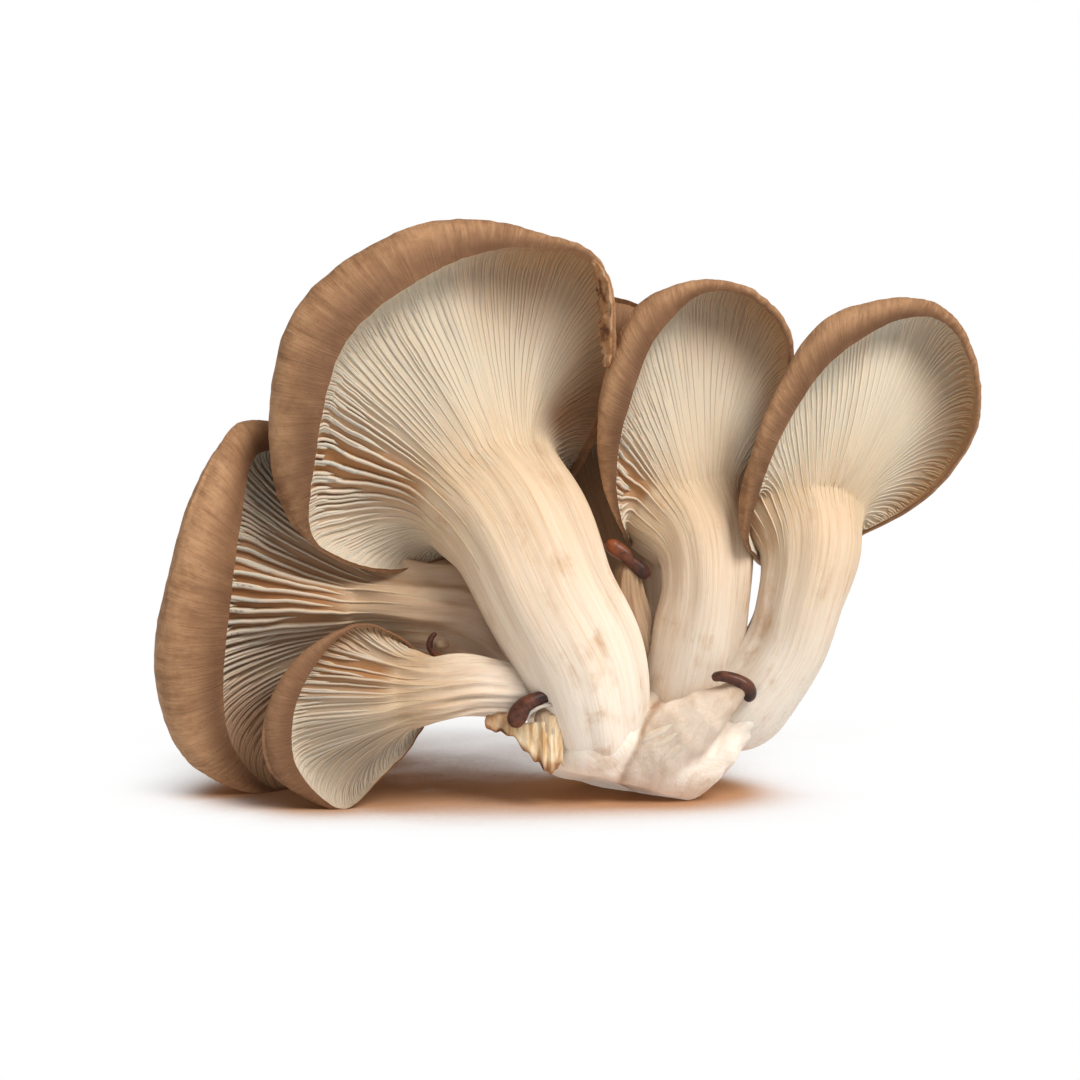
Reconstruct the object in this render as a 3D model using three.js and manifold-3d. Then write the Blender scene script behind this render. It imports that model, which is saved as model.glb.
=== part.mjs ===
// An oyster mushroom cluster, lying as it was picked: six grown mushrooms and four buds on one
// fleshy base, with a torn strip of dried flesh beside the thickest stem.
//
// Millimetres, +Z up. The gills face -Y and the brown cap tops face +Y. The cluster rests on the
// flat cut under its base, on the low edge of the left cap and on the tip of the front one.
// The origin is under the middle of the whole cluster, on the surface that it rests on.

import * as THREE from "three";
import { mergeVertices } from "three/addons/utils/BufferGeometryUtils.js";
import Module from "manifold-3d";

// Driving dimensions

const gap = 0.35; // between two pieces that touch
const around = 24; // faces around a mushroom
const budAround = 14; // faces around a bud
const footShare = 0.22; // share of a stem that its rounded foot takes
const flare = 0.35; // how far a stem runs straight on before it opens into the gills
const cup = 0.42; // how far the gills curve back before they reach the cap's edge
const tuck = 0.1; // how far the gills turn inwards under that edge
const rollRise = 0.6; // height of the rolled edge, as a share of how far it swells out
const leastRoll = 0.3; // the thinnest roll of skin at an edge

const fleshColour = 0xd8c4a6;
const budColour = 0x6b4128;
const baseColour = 0xe6dccb;
const driedColour = 0xb98f5a;

// A mushroom is given by three things.
// stem: from its foot to its neck, as [x, y, z, radius].
// edge: the cap's edge, once round, as [x, y, z, roll]: the skin swells out past it by roll.
// crown: the middle of the cap's top.
const mushrooms = {
  large_mushroom: {
    stem: [
      [8.5, 3, 7, 10.5],
      [6.5, -4, 16.5, 12.3],
      [2.5, -8, 29, 13],
      [-4, -9, 42, 13.2],
      [-9.5, -5, 53.5, 14.2],
      [-15, 3, 59, 16],
    ],
    edge: [
      [-51, -6, 53.5, 1.5],
      [-49.5, -9, 68, 8],
      [-46.5, -9.5, 83, 10.5],
      [-42, -8, 93.5, 11],
      [-33, -4, 101, 10],
      [-21, 0, 107, 7.5],
      [-8, 4, 110, 3.5],
      [6, 1, 106, 1],
      [8.5, -3, 93, 1.5],
      [6, 2, 76, 2],
      [-1, 14, 62, 2],
      [-18, 14, 49, 2],
      [-31, 4, 46, 1],
      [-42.5, -4, 47.5, 1],
    ],
    crown: [-23, 29, 80],
  },
  middle_mushroom: {
    stem: [
      [24, 7, 11.5, 8.5],
      [24.5, 3, 21, 9.2],
      [26.5, 0, 32, 9.3],
      [28, -1.5, 42, 9],
      [27.5, 1, 50, 10],
      [24.5, 7, 55, 12.5],
    ],
    edge: [
      [11.5, -3, 54.5, 1],
      [9.5, -4, 66, 3.5],
      [13, -4, 81, 6],
      [18, -1, 92.5, 6.5],
      [27, 3, 100.5, 2.5],
      [37.5, 4, 99, 1.5],
      [44, 2, 90, 1.5],
      [41.5, 5, 73, 2],
      [36, 12, 58, 2],
      [25, 19, 51, 2],
      [15.5, 9, 49.5, 1.5],
    ],
    crown: [27, 24, 79],
  },
  right_mushroom: {
    stem: [
      [30, 3, 10, 8.5],
      [37, -1, 19.5, 8.8],
      [44, -3, 30.5, 8.6],
      [47, -4, 41, 8.9],
      [48.5, -2, 49, 10.5],
      [47, 4.5, 54, 13.5],
    ],
    edge: [
      [36, -9, 51, 1],
      [38, -11, 64, 3],
      [43.5, -11, 77, 5],
      [52.5, -9, 88.5, 6.5],
      [64.5, -5, 95.5, 4],
      [74, -3, 95, 1.8],
      [80, -4, 85, 1.2],
      [79, -3, 72, 1.2],
      [71.5, 1, 60.5, 1.2],
      [60, 7, 52.5, 1.2],
      [46, 15, 46, 1.5],
    ],
    crown: [60, 18, 77],
  },
  left_mushroom: {
    stem: [
      [0, 9, 14, 8],
      [-11, 8.5, 27, 9.3],
      [-20, 6, 35.5, 9.6],
      [-29.5, 5, 37.3, 9.3],
      [-37, 9, 37, 12],
    ],
    edge: [
      [-41, 27, 56, 5],
      [-31, 34, 30, 5],
      [-38, 22, 8, 4],
      [-55.5, 5, 0.3, 1],
      [-64.5, -3, 6, 5],
      [-68, -7, 18, 9.5],
      [-67, -8, 36, 11],
      [-64.5, -5, 55, 9],
      [-60, 4, 69, 6],
    ],
    crown: [-62, 25, 36],
  },
  front_mushroom: {
    stem: [
      [-2.5, -4, 20, 5],
      [-10.5, -10, 23, 5.2],
      [-18.5, -14, 24.5, 5.3],
      [-25, -15, 24, 6],
      [-30.5, -12.5, 23.5, 8],
    ],
    edge: [
      [-26, -3, 24, 1],
      [-30.5, -10, 12.5, 0.5],
      [-36.5, -13, 6.5, 0.5],
      [-44.5, -15, 0.1, 0.5],
      [-52.5, -18, 8.5, 3.5],
      [-53.5, -19, 19.5, 4.5],
      [-49, -18, 29.5, 4.5],
      [-43.5, -15, 35, 2],
      [-36.5, -12, 35, 1],
    ],
    crown: [-45, -5, 20],
  },
  back_mushroom: {
    stem: [
      [14, 16, 12, 7.5],
      [14, 20, 28, 8.3],
      [13, 21.5, 42, 8.3],
      [11, 23.5, 52, 8.3],
      [9, 28, 59, 9.5],
    ],
    edge: [
      [-9, 26, 56, 2],
      [-14, 28, 71, 3],
      [-8, 29, 86, 3],
      [5, 28, 94.5, 2.5],
      [18, 29, 92, 3],
      [27, 32, 80, 3],
      [24, 32, 64, 3],
      [12, 38, 53, 2],
      [0, 34, 50, 2],
    ],
    crown: [8, 45, 77],
  },
};

// Buds are the same shape, small, with caps that haven't opened.
const buds = {
  centre_bud: {
    stem: [
      [15.5, 6, 25, 2.8],
      [13.5, 1, 34, 3.3],
      [12, -1, 44, 2.8],
    ],
    edge: [
      [7.8, -1.5, 51, 0.8],
      [9.5, -3.4, 48.6, 0.8],
      [14, -3.4, 45.2, 0.8],
      [16.6, -1.5, 44.2, 0.8],
      [15, 1, 46.2, 0.8],
      [10.5, 1, 49.8, 0.8],
    ],
    crown: [13.6, -1, 49.6],
  },
  right_bud: {
    stem: [
      [15, -5, 8, 7.5],
      [21, -8.5, 12.5, 6.5],
      [27, -10.5, 17, 4.5],
      [31, -11, 21.5, 3],
    ],
    edge: [
      [28.2, -11.5, 25.6, 0.8],
      [30.5, -13.3, 24.2, 0.8],
      [34.2, -13.3, 22.2, 0.8],
      [36.2, -11.5, 20.8, 0.8],
      [34.4, -9.5, 23, 0.8],
      [30.6, -9.5, 25.2, 0.8],
    ],
    crown: [32.8, -11.4, 25.8],
  },
  front_bud: {
    stem: [
      [-1.5, -9, 11, 3.2],
      [-3.5, -13, 14, 2.9],
      [-4.5, -15.5, 17.5, 2.6],
    ],
    edge: [
      [-9.5, -16, 16.8, 0.8],
      [-6.5, -18.3, 18.2, 0.8],
      [-1.8, -17.5, 20.2, 0.8],
      [-0.8, -15.3, 21.2, 0.8],
      [-4, -13.5, 20.8, 0.8],
      [-8.5, -13.9, 18.8, 0.8],
    ],
    crown: [-6, -15.8, 23],
  },
  left_bud: {
    stem: [
      [-23.5, -1, 30.5, 1.5],
      [-24.6, -4, 30.2, 1.3],
      [-25.4, -6, 31, 1.2],
    ],
    edge: [
      [-27.6, -6.4, 31.4, 0.4],
      [-26, -7.8, 30.4, 0.4],
      [-23.8, -7.4, 30.4, 0.4],
      [-23, -5.8, 31.4, 0.4],
      [-24.4, -4.8, 32.6, 0.4],
      [-26.6, -5, 32.8, 0.4],
    ],
    crown: [-26, -6.6, 34.2],
  },
};

// Lumps of flesh, each [x, y, z] for its middle and [x, y, z] for its half sizes.
const baseLumps = [
  { middle: [14, 6, 10], half: [17, 13, 10.4] },
  { middle: [29, 3, 9.6], half: [10.5, 11, 10.4] },
  { middle: [22.5, -3, 7], half: [12, 9, 7.8] },
  { middle: [16, 14, 9], half: [13, 14, 10.4] },
];
const stripLumps = [
  { middle: [-6, -13, 13.5], half: [6, 2.6, 4.2] },
  { middle: [-11, -13, 17], half: [5.5, 2, 3] },
  { middle: [-3, -12.5, 9.8], half: [3, 2.2, 3.6] },
];

// Helpers

const point = ([x, y, z]) => new THREE.Vector3(x, y, z);
const quarter = Math.PI / 2;

// A smooth line through [x, y, z, size] points, with the size carried along it.
function sizedLine(points, closed = false) {
  const line = (list) => new THREE.CatmullRomCurve3(list, closed, "catmullrom", 0.5);
  const places = line(points.map(point));
  const sizes = line(points.map(([, , , size]) => new THREE.Vector3(size, 0, 0)));
  return {
    at: (t) => places.getPoint(t),
    size: (t) => sizes.getPoint(t).x,
    tangent: (t) => places.getTangent(t),
  };
}

// What is left of a vector once its share along a unit axis is taken out.
function across(vector, axis) {
  return vector.clone().addScaledVector(axis, -vector.dot(axis));
}

// Two directions across the stem at each row, carried down from the neck without twisting.
function stemFrames(stem, rows) {
  const frames = [];
  let side = new THREE.Vector3(0.3, 0.2, 1).cross(stem.tangent(1)).negate();
  for (let row = rows; row >= 0; row--) {
    const along = stem.tangent(row / rows);
    side = across(side, along).normalize();
    frames[row] = [side, new THREE.Vector3().crossVectors(along, side)];
  }
  return frames;
}

// Mushrooms: rings of points from the foot, up the stem, over the gills to the cap's edge, round
// its rolled skin and up the dome to the crown.
function mushroomRings({ stem, edge, crown }, faces, rows) {
  const stemLine = sizedLine(stem);
  const edgeLine = sizedLine(edge, true);
  const frames = stemFrames(stemLine, rows.stem);
  const neck = stemLine.at(1);
  const up = stemLine.tangent(1);
  const top = point(crown);

  const spots = Array.from({ length: faces }, (_, i) => {
    const place = edgeLine.at(i / faces);
    const away = across(place.clone().sub(neck), up);
    const [side, other] = frames[rows.stem];
    return {
      place,
      away: away.clone().normalize(),
      angle: Math.atan2(away.dot(other), away.dot(side)),
      roll: Math.max(edgeLine.size(i / faces), leastRoll),
    };
  });
  const middle = spots.reduce((sum, { place }) => sum.add(place), new THREE.Vector3());
  const capUp = top.clone().sub(middle.divideScalar(faces)).normalize();

  const rings = [];
  for (let row = 0; row <= rows.stem; row++) {
    const t = row / rows.stem;
    const round = Math.sqrt(1 - (1 - Math.min(1, t / footShare)) ** 2);
    const radius = stemLine.size(t) * round;
    const [side, other] = frames[row];
    rings.push(
      spots.map(({ angle }) =>
        stemLine.at(t)
          .addScaledVector(side, radius * Math.cos(angle))
          .addScaledVector(other, radius * Math.sin(angle))),
    );
  }

  const neckRing = rings[rows.stem];
  const gillLines = spots.map(({ place, away }, i) => {
    const reach = place.distanceTo(neckRing[i]);
    return new THREE.CubicBezierCurve3(
      neckRing[i],
      neckRing[i].clone().addScaledVector(up, reach * flare),
      place.clone().addScaledVector(capUp, reach * cup).addScaledVector(away, -reach * tuck),
      place,
    );
  });
  for (let row = 1; row <= rows.gills; row++) {
    rings.push(gillLines.map((line) => line.getPoint(row / rows.gills)));
  }

  const domes = spots.map(({ place, roll }) => {
    const drop = place.clone().sub(top).dot(capUp);
    const out = across(place.clone().sub(top), capUp);
    return { place, roll, out: out.clone().normalize(), wide: out.length() + roll, drop };
  });
  for (let row = 1; row <= rows.roll; row++) {
    const turn = (quarter * row) / rows.roll;
    rings.push(
      domes.map(({ place, roll, out }) =>
        place.clone()
          .addScaledVector(out, roll * Math.sin(turn))
          .addScaledVector(capUp, roll * rollRise * (1 - Math.cos(turn)))),
    );
  }
  for (let row = 1; row <= rows.dome; row++) {
    const turn = (quarter * row) / rows.dome;
    rings.push(
      domes.map(({ roll, out, wide, drop }) =>
        top.clone()
          .addScaledVector(out, wide * Math.cos(turn))
          .addScaledVector(capUp, (drop + roll * rollRise) * (1 - Math.sin(turn)))),
    );
  }
  return rings;
}

// A closed surface through rings whose first and last are each one point: a sphere's net of
// faces, with its rows of corners pulled onto the rings.
function closedNet(rings) {
  const faces = rings[0].length;
  const net = new THREE.SphereGeometry(1, faces, rings.length - 1);
  rings.forEach((ring, row) => {
    for (let i = 0; i <= faces; i++) {
      net.attributes.position.setXYZ(row * (faces + 1) + i, ...ring[(faces - i) % faces]);
    }
  });
  return net;
}

function lump({ middle, half }) {
  return new THREE.SphereGeometry(1, 20, 12).scale(...half).translate(...middle);
}

// The same surface pushed out along its normals.
function grown(geometry, distance) {
  const wider = bareMesh(geometry);
  wider.computeVertexNormals();
  const { position, normal } = wider.attributes;
  for (let i = 0; i < position.count; i++) {
    const moved = new THREE.Vector3().fromBufferAttribute(normal, i).multiplyScalar(distance);
    position.setXYZ(i, ...moved.add(new THREE.Vector3().fromBufferAttribute(position, i)));
  }
  return wider;
}

// Only positions, with shared corners merged.
function bareMesh(geometry) {
  const bare = geometry.clone();
  bare.deleteAttribute("normal");
  bare.deleteAttribute("uv");
  return mergeVertices(bare, 1e-3);
}

const wasm = await Module();
wasm.setup();

function solid(geometry) {
  const bare = bareMesh(geometry);
  return new wasm.Manifold(
    new wasm.Mesh({
      numProp: 3,
      vertProperties: new Float32Array(bare.attributes.position.array),
      triVerts: new Uint32Array(bare.index.array),
    }),
  );
}

// Several closed surfaces as one solid.
function joined(geometries) {
  return geometries.map(solid).reduce((whole, next) => whole.add(next));
}

// The biggest body of a cut solid, without the crumbs.
function biggest(cut) {
  return cut.decompose().sort((a, b) => b.volume() - a.volume())[0];
}

function geometryOf(body) {
  const { vertProperties, triVerts } = body.getMesh();
  return new THREE.BufferGeometry()
    .setAttribute("position", new THREE.BufferAttribute(new Float32Array(vertProperties), 3))
    .setIndex(new THREE.BufferAttribute(new Uint32Array(triVerts), 1));
}

// The pieces, in the order in which they keep their shape: where two would share a space, the
// later one gives way, as the base does around every stem's foot.
const mushroomRows = { stem: 9, gills: 6, roll: 2, dome: 4 };
const budRows = { stem: 5, gills: 1, roll: 2, dome: 3 };

const pieces = [];
for (const [name, shape] of Object.entries(mushrooms)) {
  const surface = closedNet(mushroomRings(shape, around, mushroomRows));
  pieces.push({ name, surfaces: [surface], colour: fleshColour });
}
for (const [name, shape] of Object.entries(buds)) {
  const surface = closedNet(mushroomRings(shape, budAround, budRows));
  pieces.push({ name, surfaces: [surface], colour: budColour });
}
pieces.push({ name: "torn_strip", surfaces: stripLumps.map(lump), colour: driedColour });
pieces.push({ name: "base", surfaces: baseLumps.map(lump), colour: baseColour });

// Everything below the resting surface is cut away.
const surfaceSize = 400;
const ground = new THREE.BoxGeometry(surfaceSize, surfaceSize, surfaceSize)
  .translate(0, 0, -surfaceSize / 2);

const cluster = new THREE.Group();
let taken = solid(ground);
for (const { name, surfaces, colour } of pieces) {
  const body = biggest(joined(surfaces).subtract(taken));
  const material = new THREE.MeshStandardMaterial({ color: colour, roughness: 0.8, metalness: 0 });
  const mesh = new THREE.Mesh(geometryOf(body), material);
  mesh.name = name;
  cluster.add(mesh);
  taken = taken.add(joined(surfaces.map((surface) => grown(surface, gap))));
}

const box = new THREE.Box3().setFromObject(cluster);
const centre = box.getCenter(new THREE.Vector3());
cluster.position.set(-centre.x, -centre.y, -box.min.z);

export default cluster;
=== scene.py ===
# An oyster mushroom cluster, lying as it was picked: six mushrooms and four buds on one base.
# Shapes are given in millimetres in the design's own place, and toFrame puts them where the
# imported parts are, in metres.

import math

import bmesh
import bpy
import numpy as np
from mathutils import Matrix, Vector


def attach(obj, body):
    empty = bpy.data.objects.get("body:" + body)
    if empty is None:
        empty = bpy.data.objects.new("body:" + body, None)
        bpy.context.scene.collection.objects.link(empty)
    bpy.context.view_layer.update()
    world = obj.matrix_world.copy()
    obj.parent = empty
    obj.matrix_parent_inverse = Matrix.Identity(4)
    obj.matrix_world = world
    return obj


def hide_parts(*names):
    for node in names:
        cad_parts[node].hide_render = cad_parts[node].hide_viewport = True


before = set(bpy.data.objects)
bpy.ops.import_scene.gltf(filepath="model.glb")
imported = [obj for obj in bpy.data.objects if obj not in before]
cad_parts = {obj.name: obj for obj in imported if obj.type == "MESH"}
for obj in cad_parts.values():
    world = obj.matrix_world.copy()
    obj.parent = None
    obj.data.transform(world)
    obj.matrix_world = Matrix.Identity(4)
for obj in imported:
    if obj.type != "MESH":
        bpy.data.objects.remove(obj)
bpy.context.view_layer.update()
mm = 0.001
fullTurn = 2 * math.pi
print("frame loaded:", len(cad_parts), "nodes")


# Lines, fields and meshes

def unit(v):
    return v / np.maximum(np.linalg.norm(v, axis=-1, keepdims=True), 1e-9)


def smoothStep(low, high, x):
    t = np.clip((x - low) / (high - low), 0, 1)
    return t * t * (3 - 2 * t)


def smoothLine(points, closed, t):
    # a Catmull-Rom line through the points, with any sizes after x, y, z carried along
    p = np.asarray(points, float)
    count = len(p)
    t = np.atleast_1d(t).astype(float)
    if closed:
        s = t * count
        i = np.floor(s).astype(int)
        p0, p1, p2, p3 = [p[(i + k) % count] for k in (-1, 0, 1, 2)]
    else:
        s = t * (count - 1)
        i = np.clip(np.floor(s).astype(int), 0, count - 2)
        ends = np.vstack([2 * p[0] - p[1], p, 2 * p[-1] - p[-2]])
        p0, p1, p2, p3 = [ends[i + k] for k in range(4)]
    f = (s - i)[:, None]
    curve = (p2 - p0) * f + (2 * p0 - 5 * p1 + 4 * p2 - p3) * f**2
    return p1 + 0.5 * (curve + (3 * p1 - p0 - 3 * p2 + p3) * f**3)


def waves(points, size, seed, count=12):
    # a smooth random field, mostly between -1 and 1, with bumps about this size
    dice = np.random.default_rng(seed)
    directions = unit(dice.normal(size=(count, 3)))
    lengths = size * dice.uniform(1.4, 3.0, count)
    phases = dice.uniform(0, fullTurn, count)
    turns = points @ (directions / lengths[:, None]).T * fullTurn + phases
    return np.sin(turns).sum(-1) * math.sqrt(1.4 / count)


def circle(angle):
    return np.stack([np.cos(angle), np.sin(angle), 0 * angle], -1)


def netFaces(rows, columns, closed=True):
    # quads between the rows of a net; a closed net joins its last column to its first
    wide = columns if closed else columns - 1
    k, j = np.meshgrid(np.arange(rows - 1), np.arange(wide), indexing="ij")
    a = k * columns + j
    b = k * columns + (j + 1) % columns
    return np.stack([a, b, b + columns, a + columns], -1).reshape(-1, 4)


def newObject(name, points, faces, materials=(), faceMaterials=None, sharpAngle=None):
    mesh = bpy.data.meshes.new(name)
    mesh.from_pydata(np.asarray(points).tolist(), [], [list(map(int, f)) for f in faces])
    for material in materials:
        mesh.materials.append(material)
    if faceMaterials is not None:
        mesh.polygons.foreach_set("material_index", np.asarray(faceMaterials, np.int32))
    mesh.polygons.foreach_set("use_smooth", np.ones(len(mesh.polygons), bool))
    if sharpAngle:
        mesh.set_sharp_from_angle(angle=math.radians(sharpAngle))
    mesh.update()
    thing = bpy.data.objects.new(name, mesh)
    bpy.context.collection.objects.link(thing)
    return thing


def closedNet(rings):
    # points and faces of a surface through rings whose first and last are each one point
    rows, columns, _ = rings.shape
    inner = rings[1:-1].reshape(-1, 3)
    points = np.vstack([inner, rings[0].mean(0), rings[-1].mean(0)])
    faces = netFaces(rows - 2, columns).tolist()
    foot, crown = len(inner), len(inner) + 1
    lastRow = (rows - 3) * columns
    for j in range(columns):
        faces.append([foot, (j + 1) % columns, j])
        faces.append([crown, lastRow + j, lastRow + (j + 1) % columns])
    return points, faces


def surfaceOf(field, corner, step):
    # a skin of quads round the part of a box of samples where the field is below zero
    size = np.array(field.shape)
    total = np.zeros(tuple(size - 1) + (3,))
    count = np.zeros(tuple(size - 1))
    for axis in range(3):
        a, b = (axis + 1) % 3, (axis + 2) % 3
        for da, db in ((0, 0), (1, 0), (0, 1), (1, 1)):
            low = [slice(None)] * 3
            low[axis] = slice(0, -1)
            low[a] = slice(da, size[a] - 1 + da)
            low[b] = slice(db, size[b] - 1 + db)
            high = list(low)
            high[axis] = slice(1, None)
            first, second = field[tuple(low)], field[tuple(high)]
            crossed = (first < 0) != (second < 0)
            spot = np.zeros(crossed.shape + (3,))
            spot[..., axis] = first / np.where(crossed, first - second, 1)
            spot[..., a] = da
            spot[..., b] = db
            total += spot * crossed[..., None]
            count += crossed
    cells = np.argwhere(count > 0)
    number = np.full(count.shape, -1)
    number[tuple(cells.T)] = np.arange(len(cells))
    inCell = total[tuple(cells.T)] / count[tuple(cells.T)][:, None]
    points = np.array(corner) + step * (cells + inCell)
    faces = []
    for axis in range(3):
        a, b = (axis + 1) % 3, (axis + 2) % 3
        low = [slice(1, -1)] * 3
        low[axis] = slice(0, -1)
        high = list(low)
        high[axis] = slice(1, None)
        first, second = field[tuple(low)] < 0, field[tuple(high)] < 0
        for way, crossed in ((1, first & ~second), (-1, ~first & second)):
            spots = np.argwhere(crossed) + 1
            spots[:, axis] -= 1
            corners = []
            for da, db in ((-1, -1), (0, -1), (0, 0), (-1, 0)):
                cell = spots.copy()
                cell[:, a] += da
                cell[:, b] += db
                corners.append(number[tuple(cell.T)])
            faces.append(np.stack(corners, -1)[:, ::way])
    return points, np.vstack(faces)


def keep(thing, name, values):
    # stores one number or one vector for each point
    values = np.asarray(values, np.float32).ravel()
    single = len(values) == len(thing.data.vertices)
    kind, key = ("FLOAT", "value") if single else ("FLOAT_VECTOR", "vector")
    thing.data.attributes.new(name, kind, "POINT").data.foreach_set(key, values)


def keepEverywhere(thing, name, value):
    keep(thing, name, np.full(len(thing.data.vertices), value))


# Node helpers

def put(tree, kind, inputs=None, **settings):
    node = tree.nodes.new(kind)
    for key, value in settings.items():
        setattr(node, key, value)
    for key, value in (inputs or {}).items():
        if isinstance(value, bpy.types.NodeSocket):
            tree.links.new(value, node.inputs[key])
        else:
            node.inputs[key].default_value = value
    return node


def sums(tree, operation, *values):
    return put(tree, "ShaderNodeMath", dict(enumerate(values)), operation=operation).outputs[0]


def times(tree, first, second):
    return sums(tree, "MULTIPLY", first, second)


def vectors(tree, operation, *values):
    node = put(tree, "ShaderNodeVectorMath", dict(enumerate(values)), operation=operation)
    return node.outputs["Vector"]


def scaled(tree, vector, factor):
    node = put(tree, "ShaderNodeVectorMath", {0: vector, "Scale": factor}, operation="SCALE")
    return node.outputs["Vector"]


def spread(tree, value, low, high, toLow=0.0, toHigh=1.0):
    node = put(tree, "ShaderNodeMapRange", {
        "Value": value, "From Min": low, "From Max": high, "To Min": toLow, "To Max": toHigh,
    }, interpolation_type="SMOOTHSTEP")
    return node.outputs["Result"]


# Materials

def colour(red, green, blue):
    # from the 0 to 255 of a colour picker to the renderer's own scale
    return tuple(((c / 255 + 0.055) / 1.055) ** 2.4 for c in (red, green, blue)) + (1,)


def noiseField(tree, vector, scale, detail=3.0, roughness=0.5, distortion=0.0):
    return put(tree, "ShaderNodeTexNoise", {
        "Vector": vector, "Scale": scale, "Detail": detail, "Roughness": roughness,
        "Distortion": distortion,
    }).outputs["Fac"]


def blended(tree, factor, first, second, mode="MIX"):
    node = put(tree, "ShaderNodeMix", {"Factor": factor}, data_type="RGBA", blend_type=mode)
    for socket, value in ((node.inputs[6], first), (node.inputs[7], second)):
        if isinstance(value, bpy.types.NodeSocket):
            tree.links.new(value, socket)
        else:
            socket.default_value = value
    return node.outputs[2]


def layered(tree, look, body, layers):
    # lays the look's colours over the body: each where its field runs from low to high, by its
    # strength, which may be a number, another field or the name of an attribute
    for field, low, high, strength, name in layers:
        if isinstance(strength, str):
            strength = named(tree, strength)
        share = times(tree, spread(tree, field, low, high), strength)
        body = blended(tree, share, body, look[name])
    return body


def startMaterial(name):
    material = bpy.data.materials.new(name)
    material.use_nodes = True
    tree = material.node_tree
    return material, tree, put(tree, "ShaderNodeTexCoord").outputs["Object"]


def finishMaterial(material, base, height, look):
    # joins the colour and the height field to the surface shader
    tree = material.node_tree
    shader = tree.nodes["Principled BSDF"]
    tree.links.new(base, shader.inputs["Base Color"])
    for socket, value in (
        ("Roughness", look["roughness"]), ("Specular IOR Level", look["specular"]),
        ("Subsurface Weight", look["scatter"]), ("Subsurface Scale", look["radius"] * mm),
        ("Subsurface Radius", (1.0, 0.55, 0.3)),
    ):
        shader.inputs[socket].default_value = value
    bump = put(tree, "ShaderNodeBump", {
        "Height": height, "Distance": look["bump"] * mm, "Strength": 1.0,
    })
    tree.links.new(bump.outputs["Normal"], shader.inputs["Normal"])
    return material


def named(tree, name, output="Fac"):
    return put(tree, "ShaderNodeAttribute", attribute_name=name).outputs[output]


def stretched(tree, vector, scale):
    return put(tree, "ShaderNodeMapping", {"Vector": vector, "Scale": scale}).outputs["Vector"]


# Flow runs round a mushroom in x and y and from its foot to its crown in z, so that fibres can
# follow the growth. Zone is that same length: 0 foot, 1 neck, 2 cap's edge, 3 crown.

def makeFleshMaterial():
    look = {
        "pale": colour(236, 225, 211), "cream": colour(212, 184, 150),
        "tan": colour(186, 140, 95), "bed": colour(202, 186, 163),
        "pleatShade": colour(174, 126, 82), "brown": colour(160, 120, 84),
        # deep is the colour of painted shade; shade is the flesh's own tan together with painted
        # shade
        "shade": colour(158, 120, 84), "deep": colour(116, 84, 58),
        "roughness": 0.66, "specular": 0.2, "scatter": 0.25, "radius": 1.6, "bump": 0.26,
    }
    material, tree, place = startMaterial("stemFlesh")
    flow, zone = named(tree, "flow", "Vector"), named(tree, "zone")
    broad = noiseField(tree, stretched(tree, flow, (2.2, 2.2, 1.6)), 1.6, 3)
    streak = noiseField(tree, stretched(tree, flow, (7, 7, 2.4)), 1.0, 4, 0.65, 0.8)
    fibre = noiseField(tree, stretched(tree, flow, (26, 26, 5)), 1.0, 4, 0.7, 0.9)
    blotch = noiseField(tree, place, 95, 4, 0.65)
    body = layered(tree, look, look["pale"], [
        (zone, 0.1, 1.0, 1.0, "cream"),
        (streak, 0.46, 0.7, times(tree, spread(tree, zone, 0.1, 0.9, 0.3, 1.0), 0.45), "tan"),
        (blotch, 0.48, 0.72, times(tree, spread(tree, broad, 0.38, 0.7), 0.8), "tan"),
        (fibre, 0.5, 0.75, 0.18, "tan"),
        (fibre, 0.5, 0.3, 0.35, "pale"),
        (zone, 0.85, 1.4, 1.0, "bed"),
        # painted shade: where the gills are pleated, the bed in the valleys between them is darkened
        (zone, 0.95, 1.2, "pleated", "pleatShade"),
        # browning near the edge on one side of the cap, partly real and partly painted shade
        (zone, 1.3, 1.9, "brownedAndShaded", "brown"),
        # painted shade: near the spots listed for a mushroom, the bed takes the dark deep colour
        (zone, 0.95, 1.4, "deep", "deep"),
    ])
    # multiplies towards the shade colour by each point's share: partly the flesh's own tan, partly
    # painted shade on parts that lie in shade, such as the left mushroom under the large cap
    body = blended(tree, named(tree, "tanAndShade"), body, look["shade"], "MULTIPLY")
    height = sums(tree, "ADD", times(tree, fibre, 0.5), streak)
    return finishMaterial(material, body, height, look)


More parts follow.
